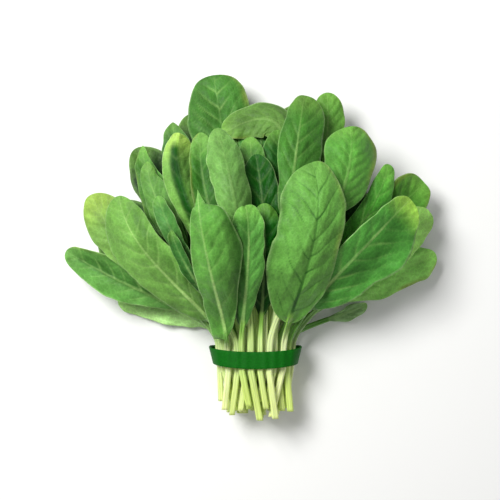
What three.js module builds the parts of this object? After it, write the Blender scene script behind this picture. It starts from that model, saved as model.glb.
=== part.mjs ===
// A tied bunch of spinach lying on its side on a flat surface, in millimetres.
// +Y runs along the stems to the leaf tips, +X is to the right seen from above, and +Z is up.
// The origin is on the surface, under the middle of the tie.
// Every leaf is one solid: its cut stem, which runs on as the midrib, and its blade.
import * as THREE from 'three';

// Driving dimensions of the tie: a flat band, wider on the leaf side, flattened where it lies
const tie = {
  band: 12, // width of the band along the stems
  wall: 1.2,
  halfWidthLeafSide: 33.5,
  halfWidthCutSide: 30.5,
  halfHeight: 21.8,
  flattening: 0.8, // how far the surface presses its lowest part up
  squareness: 3, // power of the superellipse that the packed stems push it into
  sides: 48,
};

// Driving dimensions of the stems and of how they pack inside the tie
const stem = {
  width: 5.1,
  depth: 4.7,
  widthAtBlade: 4,
  pitchAcross: 6.6,
  pitchUp: 5.7,
  lowest: 4.3, // height of the lowest row's middle
  straightTo: 8, // stems run straight through the tie and leave it here
  clearFrom: 12, // stems keep their places as far as here, and past it they bend over what they cross
  gather: 0.84, // the cut ends draw in to this share of their place in the tie
  leanFrom: 9, // and past here each row leans its own way, so that the rows cross
  rowLean: [1, -2, 3, -2, 6, -6, 6], // how far the longest cut end of each row leans to the right
  thinnest: 0.8, // the thinnest stem, as a share of the width and the depth
  leastBare: 6, // length of stem between the tie and the start of a blade, at the least
  shortest: 31,
  longest: 44,
};
const rowSizes = [4, 7, 8, 9, 8, 7, 4]; // stems in each row of the tie, from the bottom up

// Driving dimensions of the blades
const blade = {
  thickness: 0.9,
  gap: 0.45, // air left between a leaf and the heap below it
  columns: [-1, -0.5, 0, 0.5, 1], // places across, as shares of the half-width
  stations: [0, 0.1, 0.22, 0.36, 0.51, 0.66, 0.79, 0.9, 0.965, 1], // places along, as shares of the length
  tipHalfWidth: 1.4,
  nibWidth: 0.36, // widest a pointed tip gets, as a share of the half-width
  ripple: 0.07, // how far the outline strays from a smooth curve, as a share of the half-width
};

// How the heap fills its height: the lowest leaves lie flat, with air above them
const layers = { low: 17, lowTo: 0.24, restFrom: 0.4 };

// The heap's outer form: how high its top is, by distance from the tie and by angle from +Y
const heap = { atTie: 41, crown: 90, crownAt: 110, atTips: 58, reach: 215, sideDrop: 0.5 };

const { lerp, smoothstep, degToRad } = THREE.MathUtils;
const tieMiddle = tie.halfHeight - tie.flattening; // height of the bundle's middle

// One leaf. Row and place say which stem of the tie it is, from the bottom and from the left.
// Bend and tip are plan points of its midrib, left and right its half-widths, and length its blade's.
// Cup lifts the edges, or drops them below 0, and fold makes the cup a V. Roll lifts the right edge,
// droop lowers the tip, and wave is the height of the edge's waves. A higher base makes a longer
// taper to the stem, leftBase sets it apart for the left side, and a higher point makes a sharper tip.
// Nib is the share of the length that a small pointed tip takes, past the shoulders. Tone darkens or
// lightens the green.
function leaf(name, row, place, bend, tip, left, right, length, look = {}) {
  const plain = { cup: 0, fold: 0, roll: 0, droop: 4, wave: 1.6, base: 0.8, point: 0.5, nib: 0, tone: 1 };
  return { name, row, place, bend, tip, left, right, length, ...plain, ...look };
}

// The leaves under the heap: a fan that spreads to this many degrees at this distance from the tie's
// middle, with shorter leaves at its sides, varied by golden-ratio steps.
const under = { spread: 60, spreadAt: 20, reach: 178, sideLoss: 40, halfWidth: 20, length: 112 };
const goldenStep = 0.618034;

function underLeaf(name, row, place, count) {
  const vary = (step) => ((count * step * goldenStep) % 1) * 2 - 1;
  const angle = degToRad((under.spread * placeAcross(row, place)) / under.spreadAt + 5 * vary(1));
  const side = Math.abs(angle) / degToRad(under.spread);
  const reach = under.reach - under.sideLoss * side * side + 10 * vary(2);
  const tip = [reach * Math.sin(angle), reach * Math.cos(angle)];
  const bend = [0.45 * reach * Math.sin(0.6 * angle), 0.45 * reach * Math.cos(0.6 * angle)];
  const width = under.halfWidth + 3 * vary(3);
  const length = under.length - 14 * side * side + 8 * vary(6);
  const look = { cup: 2.5 * vary(4), roll: 0.06 * vary(5), base: 0.75, tone: 0.85 };
  return leaf(name, row, place, bend, tip, width, width, length, look);
}

// How far a stem stands from the tie's middle
function placeAcross(row, place) {
  return (place - (rowSizes[row] - 1) / 2) * stem.pitchAcross;
}

// Every leaf, from the bottom of the heap to the top
const leaves = [
  underLeaf('under_leaf_01', 0, 0, 1),
  underLeaf('under_leaf_02', 0, 3, 2),
  underLeaf('under_leaf_03', 0, 1, 3),
  underLeaf('under_leaf_04', 0, 2, 4),
  underLeaf('under_leaf_05', 1, 1, 5),
  underLeaf('under_leaf_06', 1, 5, 6),
  underLeaf('under_leaf_07', 1, 3, 7),
  underLeaf('under_leaf_08', 1, 2, 8),
  underLeaf('under_leaf_09', 1, 4, 9),
  leaf('left_low_leaf', 1, 0, [-59, 34], [-101, 41], 11, 10, 78, {
    wave: 1.6, cup: 1, base: 0.8, point: 0.4,
  }),
  leaf('right_small_leaf', 1, 6, [45, 20], [82, 37], 4, 6, 32, { wave: 0.6, cup: 1 }),
  underLeaf('under_leaf_10', 2, 1, 10),
  underLeaf('under_leaf_11', 2, 6, 11),
  underLeaf('under_leaf_12', 2, 2, 12),
  underLeaf('under_leaf_13', 2, 5, 13),
  underLeaf('under_leaf_14', 2, 3, 14),
  underLeaf('under_leaf_15', 2, 4, 15),
  leaf('left_side_leaf', 2, 0, [-73, 34], [-136, 76], 13, 13, 92, { cup: 9, droop: -3 }),
  leaf('right_side_leaf', 2, 7, [80, 54], [131, 73], 14, 15, 84, { cup: -2, roll: -0.08 }),
  leaf('back_left_tip_leaf', 3, 3, [-52, 84], [-59, 168], 12, 12, 72, { cup: 3, point: 0.7 }),
  leaf('back_top_leaf', 3, 4, [-16, 112], [-30, 202], 23, 23, 92, {
    cup: -3, base: 1, point: 0.42, droop: 7,
  }),
  leaf('back_centre_leaf', 3, 5, [10, 92], [2, 181], 16, 16, 84, { cup: -3, base: 0.9 }),
  leaf('left_pointed_leaf', 3, 2, [-80, 76], [-80, 151], 11, 11, 86, { cup: 2, point: 0.8 }),
  leaf('back_right_leaf', 3, 6, [60, 98], [51, 189], 14, 13, 72, { cup: -3, base: 0.9, wave: 1.8 }),
  leaf('right_far_leaf', 3, 7, [63, 70], [121, 125], 15, 14, 86, { cup: 2, base: 1, point: 0.28 }),
  leaf('right_edge_leaf', 3, 8, [66, 52], [124, 104], 14, 15, 84, { cup: -3, point: 0.42 }),
  leaf('left_outer_leaf', 3, 0, [-80, 38], [-117, 116], 15, 17, 94, { cup: -3, base: 0.9, point: 0.45 }),
  leaf('left_inner_leaf', 3, 1, [-77, 87], [-76, 139], 9, 10, 76, { cup: -3, point: 0.65 }),
  leaf('top_bent_leaf', 4, 4, [94, 228], [-23, 158], 13, 12, 80, {
    cup: -3, roll: -0.1, base: 0.9, droop: 6,
  }),
  leaf('centre_back_leaf', 4, 5, [22, 84], [15, 160], 12, 12, 78, { cup: 2 }),
  leaf('right_mid_leaf', 4, 6, [79, 67], [93, 137], 9, 13, 118, {
    cup: -3, roll: -0.15, base: 0.5, point: 0.42,
  }),
  leaf('folded_leaf', 4, 2, [-68, 100], [-53, 158], 12, 13, 88, {
    cup: -15, fold: 1, base: 0.7, point: 0.4,
  }),
  leaf('short_dark_leaf', 4, 3, [-16, 36], [-19, 80], 9, 9, 50, { cup: 2, tone: 0.7 }),
  leaf('small_tip_leaf', 5, 3, [2, 84], [-4, 155], 10, 10, 56, { cup: -2, droop: 9, tone: 1.15 }),
  leaf('dark_centre_leaf', 5, 4, [13, 74], [0, 142], 13, 12, 76, { cup: 4, tone: 0.65 }),
  leaf('left_slim_leaf', 4, 1, [-56, 66], [-67, 114], 7, 6, 56, { cup: 3, wave: 1.6 }),
  leaf('upper_right_leaf', 5, 5, [20, 107], [34, 184], 12, 18, 102, { cup: -6, fold: 0.6, point: 0.38 }),
  leaf('right_round_leaf', 6, 3, [77, 82], [65, 162], 19, 19, 66, { cup: -7, point: 0.45, roll: -0.08 }),
  leaf('upper_left_leaf', 5, 2, [-46, 98], [-37, 157], 9, 12, 90, { cup: 4, fold: 0.5 }),
  leaf('left_broad_leaf', 4, 0, [-86, 48], [-94, 114], 20, 16, 110, { cup: -6, wave: 1.8, base: 0.75 }),
  leaf('slim_front_leaf', 5, 1, [-47, 43], [-57, 90], 5, 4, 54, { cup: 4, wave: 2 }),
  leaf('shaded_leaf', 6, 2, [10, 69], [5, 108], 12, 12, 80, { cup: -2, tone: 0.65, droop: 8 }),
  leaf('bright_centre_leaf', 6, 1, [-5, 104], [-27, 159], 13, 12, 86, { cup: -9, base: 0.7, tone: 1.25 }),
  leaf('right_front_leaf', 4, 7, [57, 63], [107, 112], 12, 27, 104, { cup: 7, base: 0.65, point: 0.42 }),
  leaf('front_centre_leaf', 6, 0, [3, 70], [-7, 106], 13, 11, 84, {
    cup: -7, roll: 0.15, base: 0.6, point: 0.32,
  }),
  leaf('front_right_leaf', 5, 6, [60, 73], [37, 135], 27, 19, 112, {
    cup: -8, base: 0.42, point: 0.36, droop: 6,
  }),
  leaf('front_left_leaf', 5, 0, [-37, 66], [-38, 116], 11, 23, 104, {
    cup: -10, roll: -0.1, base: 0.85, leftBase: 0.12, point: 0.3, nib: 0.1, droop: 6,
  }),
];

// The midrib's line in plan above the tie: it leaves along +Y, and then bends to the leaf's tip.
function midribOf(spec) {
  const root = new THREE.Vector2(placeAcross(spec.row, spec.place) * 1.02, stem.straightTo);
  const bend = new THREE.Vector2(...spec.bend);
  const tip = new THREE.Vector2(...spec.tip);
  const rise = root.distanceTo(bend) / 3;
  const leaving = new THREE.Vector2(root.x, root.y + rise);
  const arriving = tip.clone().lerp(bend, 2 / 3);
  return new THREE.CubicBezierCurve(root, leaving, arriving, tip);
}

// Share of the blade's full half-width at a place along it, from 0 at its base to 1 at its tip
function outline(along, base, point, nib) {
  const widest = base / (base + point);
  const shape = (u) => u ** base * (1 - u) ** point;
  const oval = shape(Math.min(1, along / (1 - nib))) / shape(widest);
  if (along < 1 - 2 * nib) return oval;
  return Math.max(oval, blade.nibWidth * Math.min(1, (0.6 * (1 - along)) / nib));
}

// The heap's top over a plan point
function heapTop(x, y) {
  const distance = Math.hypot(x, y);
  const angle = Math.atan2(Math.abs(x), Math.max(y, 0.1));
  const up = (heap.crown - heap.atTie) * smoothstep(distance, 0, heap.crownAt);
  const down = (heap.crown - heap.atTips) * smoothstep(distance, heap.crownAt, heap.reach);
  const side = 1 - heap.sideDrop * smoothstep(angle, degToRad(15), degToRad(75));
  return (heap.atTie + up - down) * side;
}

// Share of the heap's height at which a leaf lies, by its number from the bottom
function heapShare(number) {
  if (number < layers.low) return (layers.lowTo * number) / layers.low;
  return lerp(layers.restFrom, 1, (number - layers.low) / (leaves.length - 1 - layers.low));
}

// The leaf's cross lines, from the cut end to the tip. Each has a plan point, the direction across,
// its half-widths, its stem's depth, its share along the blade, and how round (1, stem) or flat
// (0, blade) it is.
function crossLines(spec, number) {
  const lines = [];
  const across = placeAcross(spec.row, spec.place);
  const cutLength = lerp(stem.shortest, stem.longest, (number * goldenStep) % 1);
  const slim = lerp(stem.thinnest, 1, (3 * number * goldenStep) % 1);
  const depth = stem.depth * slim;
  for (const y of [-cutLength, -stem.leanFrom]) {
    const half = (stem.width * slim) / 2;
    const lean = (stem.rowLean[spec.row] * (y + stem.leanFrom)) / (stem.leanFrom - stem.longest);
    const x = across * (1 + (1 - stem.gather) * (y / stem.longest)) + lean;
    lines.push({ x, y, side: [1, 0], left: half, right: half, depth, along: 0, round: 1, free: 0 });
  }
  const midrib = midribOf(spec);
  const total = midrib.getLength();
  const length = Math.min(spec.length, total - stem.leastBare);
  const bareStem = total - length;
  const stemSteps = Math.max(1, Math.round(bareStem / 26));
  const places = [];
  for (let i = 0; i < stemSteps; i++) places.push((bareStem * i) / stemSteps);
  for (const share of blade.stations) places.push(bareStem + length * share);
  for (const place of places) {
    const at = midrib.getPointAt(place / total);
    const heading = midrib.getTangentAt(place / total);
    const along = Math.max(0, (place - bareStem) / length);
    const bare = (lerp(stem.width, stem.widthAtBlade, Math.min(1, place / bareStem)) / 2) * slim;
    const least = along > 0 ? lerp(bare, blade.tipHalfWidth, along) : bare;
    const ripple = (turns) => Math.sin(2 * Math.PI * (turns * along + number * goldenStep));
    const grown = (base) => (along >= 1 ? 0 : outline(along, base, spec.point, spec.nib));
    const leftGrown = grown(spec.leftBase ?? spec.base) * (1 + blade.ripple * ripple(1.6));
    const rightGrown = grown(spec.base) * (1 + blade.ripple * ripple(-2.1));
    lines.push({
      x: at.x,
      y: at.y,
      side: [heading.y, -heading.x],
      left: Math.max(least, spec.left * leftGrown),
      right: Math.max(least, spec.right * rightGrown),
      depth,
      along,
      round: 1 - smoothstep(along, 0, 0.14),
      free: place > 0 ? 1 : 0,
    });
  }
  return lines;
}

// The leaf's middle surface as a grid of points, and how far its solid reaches above and below each.
function leafGrid(spec, number) {
  const rootHeight = stem.lowest + spec.row * stem.pitchUp;
  const widest = Math.max(spec.left, spec.right);
  const grid = [];
  for (const line of crossLines(spec, number)) {
    for (const column of blade.columns) {
      const reach = column * (column < 0 ? line.left : line.right);
      const x = line.x + line.side[0] * reach;
      const y = line.y + line.side[1] * reach;
      const open = smoothstep(Math.hypot(x, y), 10, 62);
      const drawnIn = line.y < 0 ? lerp(1, 0.92, -line.y / stem.longest) : 1;
      const atTie = tieMiddle + (rootHeight - tieMiddle) * drawnIn;
      let z = lerp(atTie, heapShare(number) * heapTop(x, y), line.free * open);
      const out = Math.abs(reach) / widest;
      z += spec.cup * lerp(out * out, out, spec.fold) * (1 - line.round);
      z += spec.roll * reach * (1 - line.round);
      z -= spec.droop * line.along ** 3;
      const turn = 2 * Math.PI * (2.3 * line.along + number * goldenStep + (column < 0 ? 0.4 : 0));
      z += spec.wave * Math.sin(turn) * out * out * (1 - line.round);
      const roundHalf = (line.depth / 2) * Math.sqrt(1 - column * column);
      const flat = blade.thickness / 2;
      const rib = column === 0 ? lerp(line.depth / 2, flat, line.along ** 0.6) : flat;
      grid.push({
        x,
        y,
        z,
        up: lerp(flat, Math.max(flat, roundHalf), line.round),
        down: Math.max(rib, lerp(flat, Math.max(flat, roundHalf), line.round)),
        free: line.free,
      });
    }
  }
  return grid;
}

// Triangles between neighbouring cross lines, as grid numbers, the same for both faces of the leaf.
// The diagonals run towards the midrib on both halves.
function gridTriangles(lineCount) {
  const columns = blade.columns.length;
  const found = [];
  for (let i = 0; i + 1 < lineCount; i++) {
    for (let j = 0; j + 1 < columns; j++) {
      const a = i * columns + j;
      const [b, c, d] = [a + 1, a + columns + 1, a + columns];
      if (j < (columns - 1) / 2) found.push([a, b, c], [a, c, d]);
      else found.push([a, b, d], [b, c, d]);
    }
  }
  return found;
}

// A slope makes a vertical thickness thinner, so each point's reach up and down grows with its slope.
function steepness(grid) {
  const columns = blade.columns.length;
  const lineCount = grid.length / columns;
  return grid.map((point, n) => {
    const i = Math.floor(n / columns);
    const j = n % columns;
    const slope = (a, b) => (b.z - a.z) / Math.max(0.5, Math.hypot(b.x - a.x, b.y - a.y));
    const before = grid[Math.max(0, i - 1) * columns + j];
    const after = grid[Math.min(lineCount - 1, i + 1) * columns + j];
    const left = grid[i * columns + Math.max(0, j - 1)];
    const right = grid[i * columns + Math.min(columns - 1, j + 1)];
    return Math.min(2.2, Math.hypot(1, slope(before, after), slope(left, right)));
  });
}

// The height of everything laid so far, on a square grid that starts just above the bare surface
const field = { cell: 1, west: -170, south: -60, wide: 340, deep: 300, surface: 0.05 };
const laid = new Float32Array(field.wide * field.deep).fill(field.surface);

// Calls visit(cell, height, weights) for points spread closely over a triangle.
function overTriangle(corners, visit) {
  const [a, b, c] = corners;
  const side = (p, q) => Math.hypot(p.x - q.x, p.y - q.y);
  const steps = Math.max(1, Math.ceil(Math.max(side(a, b), side(b, c), side(c, a)) / (0.6 * field.cell)));
  for (let i = 0; i <= steps; i++) {
    for (let j = 0; i + j <= steps; j++) {
      const w = [i / steps, j / steps, (steps - i - j) / steps];
      const mix = (key) => w[0] * a[key] + w[1] * b[key] + w[2] * c[key];
      const column = Math.floor((mix('x') - field.west) / field.cell);
      const row = Math.floor((mix('y') - field.south) / field.cell);
      visit(row * field.wide + column, mix('z'), w, mix('y'));
    }
  }
}

function laidHeight(cell) {
  let highest = 0;
  for (const down of [-field.wide, 0, field.wide]) {
    for (const along of [-1, 0, 1]) highest = Math.max(highest, laid[cell + down + along]);
  }
  return highest;
}

// Lays one leaf on the heap: where it would pass through what lies below, it bends up just enough,
// and the bend fades along the leaf as a springy blade's would. Its stem stays put in the tie.
function settle(grid) {
  const columns = blade.columns.length;
  const lineCount = grid.length / columns;
  const triangles = gridTriangles(lineCount);
  for (let pass = 0; pass < 6; pass++) {
    const steep = steepness(grid);
    const lift = grid.map(() => 0);
    for (const triangle of triangles) {
      const corners = triangle.map((n) => ({ ...grid[n], z: grid[n].z - grid[n].down * steep[n] }));
      let need = 0;
      overTriangle(corners, (cell, height, weights, y) => {
        if (y < stem.clearFrom) return;
        const below = laidHeight(cell);
        const missing = below + (below > 2 * field.surface ? blade.gap : 0) - height;
        const movable = corners.reduce((sum, corner, n) => sum + weights[n] * corner.free, 0);
        if (missing > 0 && movable > 0.4) need = Math.max(need, missing / movable);
      });
      for (const n of triangle) lift[n] = Math.max(lift[n], need * grid[n].free);
    }
    if (Math.max(...lift) < 0.01) break;
    const smooth = [...lift];
    for (let round = 0; round < 60; round++) {
      for (let n = 0; n < grid.length; n++) {
        const i = Math.floor(n / columns);
        const j = n % columns;
        const near = [[i - 1, j], [i + 1, j], [i, j - 1], [i, j + 1]]
          .filter(([r, c]) => r >= 0 && r < lineCount && c >= 0 && c < columns)
          .map(([r, c]) => smooth[r * columns + c]);
        const mean = near.reduce((sum, value) => sum + value, 0) / near.length;
        smooth[n] = grid[n].free * Math.max(lift[n], 0.97 * mean);
      }
    }
    grid.forEach((point, n) => (point.z += smooth[n]));
  }
  const steep = steepness(grid);
  grid.forEach((point, n) => {
    point.top = point.z + point.up * steep[n];
    point.bottom = point.z - point.down * steep[n];
  });
  for (const triangle of triangles) {
    const corners = triangle.map((n) => ({ ...grid[n], z: grid[n].top }));
    overTriangle(corners, (cell, height) => (laid[cell] = Math.max(laid[cell], height)));
  }
}

// Closes a grid's top and bottom faces into one solid.
function leafGeometry(grid) {
  const columns = blade.columns.length;
  const lineCount = grid.length / columns;
  const positions = [];
  for (const point of grid) positions.push(point.x, point.y, point.top);
  for (const point of grid) positions.push(point.x, point.y, point.bottom);
  const lower = (n) => n + grid.length;
  const index = [];
  const quad = (a, b, c, d) => index.push(a, b, c, a, c, d);
  for (const [a, b, c] of gridTriangles(lineCount)) {
    index.push(a, b, c);
    index.push(lower(a), lower(c), lower(b));
  }
  for (let i = 0; i + 1 < lineCount; i++) {
    const [a, b] = [i * columns, (i + 1) * columns];
    const [c, d] = [a + columns - 1, b + columns - 1];
    quad(lower(a), a, b, lower(b));
    quad(c, lower(c), lower(d), d);
  }
  for (let j = 0; j + 1 < columns; j++) {
    const last = (lineCount - 1) * columns + j;
    quad(j, lower(j), lower(j + 1), j + 1);
    quad(last, last + 1, lower(last + 1), lower(last));
  }
  const geometry = new THREE.BufferGeometry();
  geometry.setAttribute('position', new THREE.Float32BufferAttribute(positions, 3));
  geometry.setIndex(index);
  geometry.computeVertexNormals();
  return geometry;
}

// The band: a superellipse ring that widens to the leaf side and lies flat on the surface.
function tieGeometry() {
  const ends = [
    { y: -tie.band / 2, half: tie.halfWidthCutSide },
    { y: tie.band / 2, half: tie.halfWidthLeafSide },
  ];
  const rim = (half, y, inset) => {
    const points = [];
    for (let i = 0; i < tie.sides; i++) {
      const turn = (2 * Math.PI * (i + 0.5)) / tie.sides;
      const round = (value) => Math.sign(value) * Math.abs(value) ** (2 / tie.squareness);
      const x = (half - inset) * round(Math.cos(turn));
      const z = tieMiddle + (tie.halfHeight - inset) * round(Math.sin(turn));
      points.push([x, y, Math.max(inset, z)]);
    }
    return points;
  };
  const rings = [
    rim(ends[0].half, ends[0].y, 0),
    rim(ends[1].half, ends[1].y, 0),
    rim(ends[1].half, ends[1].y, tie.wall),
    rim(ends[0].half, ends[0].y, tie.wall),
  ];
  const index = [];
  for (let r = 0; r < rings.length; r++) {
    const next = (r + 1) % rings.length;
    for (let i = 0; i < tie.sides; i++) {
      const j = (i + 1) % tie.sides;
      const [a, b] = [r * tie.sides + i, r * tie.sides + j];
      const [c, d] = [next * tie.sides + j, next * tie.sides + i];
      index.push(a, c, b, a, d, c);
    }
  }
  const geometry = new THREE.BufferGeometry();
  geometry.setAttribute('position', new THREE.Float32BufferAttribute(rings.flat(2), 3));
  geometry.setIndex(index);
  geometry.computeVertexNormals();
  return geometry;
}

const bunch = new THREE.Group();

const band = new THREE.Mesh(
  tieGeometry(),
  new THREE.MeshStandardMaterial({ color: '#0b6b16', roughness: 0.6, metalness: 0 }),
);
band.name = 'tie_band';
bunch.add(band);

const leafGreen = new THREE.Color('#4f9a35');
leaves.forEach((spec, number) => {
  const grid = leafGrid(spec, number);
  settle(grid);
  const color = leafGreen.clone().multiplyScalar(spec.tone);
  const material = new THREE.MeshStandardMaterial({ color, roughness: 0.5, metalness: 0 });
  const mesh = new THREE.Mesh(leafGeometry(grid), material);
  mesh.name = spec.name;
  bunch.add(mesh);
});

export default bunch;
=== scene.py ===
import math

import bpy
import numpy as np
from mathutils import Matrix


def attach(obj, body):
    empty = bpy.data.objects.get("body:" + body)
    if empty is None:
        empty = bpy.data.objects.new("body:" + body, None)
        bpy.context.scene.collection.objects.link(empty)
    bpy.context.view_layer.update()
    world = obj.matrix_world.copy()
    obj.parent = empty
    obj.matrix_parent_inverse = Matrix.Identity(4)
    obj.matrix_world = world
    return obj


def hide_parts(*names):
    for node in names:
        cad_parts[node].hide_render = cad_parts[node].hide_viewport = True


# A tied bunch of spinach on its side, seen from straight above.
# Lengths are in millimetres until a mesh is made.
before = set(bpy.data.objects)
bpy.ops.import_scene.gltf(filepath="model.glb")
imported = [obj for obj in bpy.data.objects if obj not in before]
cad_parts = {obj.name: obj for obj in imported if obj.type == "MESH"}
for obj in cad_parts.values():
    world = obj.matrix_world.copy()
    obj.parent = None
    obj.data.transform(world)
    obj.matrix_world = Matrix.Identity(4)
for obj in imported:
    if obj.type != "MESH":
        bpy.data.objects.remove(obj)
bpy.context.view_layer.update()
mm = 0.001
goldenStep = 0.618034  # steps of this share spread values evenly with no repeat


def linear(hexColour):  # sRGB hex to linear numbers
    channels = [int(hexColour[i:i + 2], 16) / 255 for i in (1, 3, 5)]
    return np.array([c / 12.92 if c <= 0.04045 else ((c + 0.055) / 1.055) ** 2.4 for c in channels])


def lerp(a, b, t):
    return a + (b - a) * t


def smoothstep(x, low, high):
    t = np.clip((x - low) / (high - low), 0, 1)
    return t * t * (3 - 2 * t)


def softNoise(x, y, seed):  # smooth random hills from -1 to 1, one unit apart, the same on every run
    xi, yi = np.floor(x), np.floor(y)
    fx, fy = x - xi, y - yi
    sx, sy = fx * fx * (3 - 2 * fx), fy * fy * (3 - 2 * fy)

    def corner(i, j):
        return np.modf(np.abs(np.sin((xi + i) * 127.1 + (yi + j) * 311.7 + seed * 74.7) * 43758.5453))[0]

    low = lerp(corner(0, 0), corner(1, 0), sx)
    high = lerp(corner(0, 1), corner(1, 1), sx)
    return lerp(low, high, sy) * 2 - 1


# The camera looks straight down, as far off as a photographer would stand with a long lens.
cameraLook = {"place": (-3.9, 76.7, 800), "sensor": 36, "widthSeen": 370, "nearest": 10}
lens = bpy.data.cameras.new("camera")
lens.sensor_width = cameraLook["sensor"]
lens.lens = cameraLook["sensor"] * cameraLook["place"][2] / cameraLook["widthSeen"]
lens.clip_start = cameraLook["nearest"] * mm
camera = bpy.data.objects.new("camera", lens)
camera.location = [c * mm for c in cameraLook["place"]]
bpy.context.scene.collection.objects.link(camera)
bpy.context.scene.camera = camera
print("camera placed")


def addNode(tree, kind, sockets=None, **settings):  # a node with its settings, its values and its links
    node = tree.nodes.new(kind)
    for key, value in settings.items():
        setattr(node, key, value)
    for name, value in (sockets or {}).items():
        if isinstance(value, bpy.types.NodeSocket):
            tree.links.new(value, node.inputs[name])
        else:
            node.inputs[name].default_value = value
    return node


def newMaterial(name, shader):  # a material with only a Principled shader, set by one dictionary
    material = bpy.data.materials.new(name)
    material.use_nodes = True
    tree = material.node_tree
    tree.nodes.clear()
    skin = addNode(tree, "ShaderNodeBsdfPrincipled", shader)
    addNode(tree, "ShaderNodeOutputMaterial", {"Surface": skin.outputs[0]})
    return material, tree, skin


def wetTissue(look):  # shader values of living tissue, which scatters light just below its skin
    return {
        "IOR": look["ior"], "Specular IOR Level": look["specular"], "Subsurface Weight": look["scatter"],
        "Subsurface Radius": look["scatterColour"], "Subsurface Scale": look["scatterDepth"] * mm,
    }


noiseSpan = {"From Min": 0.3, "From Max": 0.7}  # where most of a noise texture's values lie


def finishSkin(tree, skin, look, noise, height):  # gloss that follows a noise, and a fine relief
    gloss = addNode(tree, "ShaderNodeMapRange", {
        "Value": noise, **noiseSpan, "To Min": look["roughness"][0], "To Max": look["roughness"][1],
    })
    tree.links.new(gloss.outputs[0], skin.inputs["Roughness"])
    bump = addNode(tree, "ShaderNodeBump", {
        "Strength": look["bump"], "Distance": look["bumpHeight"] * mm, "Height": height,
    })
    tree.links.new(bump.outputs[0], skin.inputs["Normal"])


# Living spinach blade: a thin waxy cuticle over soft wet tissue. It gives a broad satin sheen with
# light scattered just below it, and a fine net of veins between the main ones.
bladeLook = {
    "upper": {"roughness": (0.42, 0.6), "netDepth": 0.35},
    "underside": {"roughness": (0.6, 0.75), "netDepth": 0.5},
    "ior": 1.42, "specular": 0.2,
    "scatter": 0.1, "scatterColour": (0.5, 1.0, 0.25), "scatterDepth": 1.2,
    "netCell": 3.2,  # real net cells are about 1 mm; drawn coarser so that they show
    "netWarp": 2.2, "netLine": 0.16, "netPaler": 1.16,
    "mottle": 9.0,
    "mottleStretch": (1.5, 0.6, 1.0),  # narrower across the leaf and drawn out along it
    "lighter": 1.25, "darker": 0.75,
    "grain": 1.6,
    "wrinkle": 4.0,  # height of the wrinkles, against that of the grain
    "bump": 0.6, "bumpHeight": 0.35,
}


def spinachBlade(name, face):
    look = {**bladeLook, **bladeLook[face]}
    material, tree, skin = newMaterial(name, wetTissue(look))
    colour = addNode(tree, "ShaderNodeAttribute", attribute_name="leafColour").outputs["Color"]
    place = addNode(tree, "ShaderNodeAttribute", attribute_name="leafPlace").outputs["Vector"]
    drawnOut = addNode(tree, "ShaderNodeVectorMath", {
        0: place, 1: look["mottleStretch"],
    }, operation="MULTIPLY")
    mottle = addNode(tree, "ShaderNodeTexNoise", {
        "Vector": drawnOut.outputs[0], "Scale": 1 / look["mottle"], "Detail": 4.0, "Roughness": 0.6,
    })
    grain = addNode(tree, "ShaderNodeTexNoise", {
        "Vector": place, "Scale": 1 / look["grain"], "Detail": 2.0, "Roughness": 0.5,
    })
    warp = addNode(tree, "ShaderNodeVectorMath", {
        0: mottle.outputs["Color"], "Scale": look["netWarp"],
    }, operation="SCALE")
    netPlace = addNode(tree, "ShaderNodeVectorMath", {0: place, 1: warp.outputs[0]}, operation="ADD")
    net = addNode(tree, "ShaderNodeTexVoronoi", {
        "Vector": netPlace.outputs[0], "Scale": 1 / look["netCell"],
    }, feature="DISTANCE_TO_EDGE")
    netLines = addNode(tree, "ShaderNodeMapRange", {
        "Value": net.outputs["Distance"], "From Max": look["netLine"], "To Min": 1.0, "To Max": 0.0,
    }, interpolation_type="SMOOTHSTEP")
    shade = addNode(tree, "ShaderNodeMapRange", {
        "Value": mottle.outputs["Fac"], **noiseSpan,
        "To Min": look["darker"], "To Max": look["lighter"],
    })
    mottled = addNode(tree, "ShaderNodeVectorMath", {
        0: colour, "Scale": shade.outputs[0],
    }, operation="SCALE")
    paler = addNode(tree, "ShaderNodeVectorMath", {
        0: mottled.outputs[0], "Scale": look["netPaler"],
    }, operation="SCALE")
    netted = addNode(tree, "ShaderNodeMix", {
        0: netLines.outputs[0], 6: mottled.outputs[0], 7: paler.outputs[0],
    }, data_type="RGBA")
    tree.links.new(netted.outputs[2], skin.inputs["Base Color"])
    furrow = addNode(tree, "ShaderNodeMath", {
        0: netLines.outputs[0], 1: -look["netDepth"],
    }, operation="MULTIPLY")
    wrinkled = addNode(tree, "ShaderNodeMath", {
        0: mottle.outputs["Fac"], 1: look["wrinkle"], 2: furrow.outputs[0],
    }, operation="MULTIPLY_ADD")
    height = addNode(tree, "ShaderNodeMath", {
        0: grain.outputs["Fac"], 1: wrinkled.outputs[0],
    }, operation="ADD")
    finishSkin(tree, skin, look, grain.outputs["Fac"], height.outputs[0])
    return material


# Spinach stalk: a wet, ribbed skin over clear pith. It looks juicy, with glossy streaks along the ribs.
stalkLook = {
    "ior": 1.42, "specular": 0.5, "roughness": (0.3, 0.5),
    "scatter": 0.3, "scatterColour": (0.9, 1.0, 0.4), "scatterDepth": 1.6,
    "ribPitch": 0.8, "ribRun": 26.0, "darker": 0.74, "lighter": 1.24, "bump": 0.5, "bumpHeight": 0.4,
}


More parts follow.
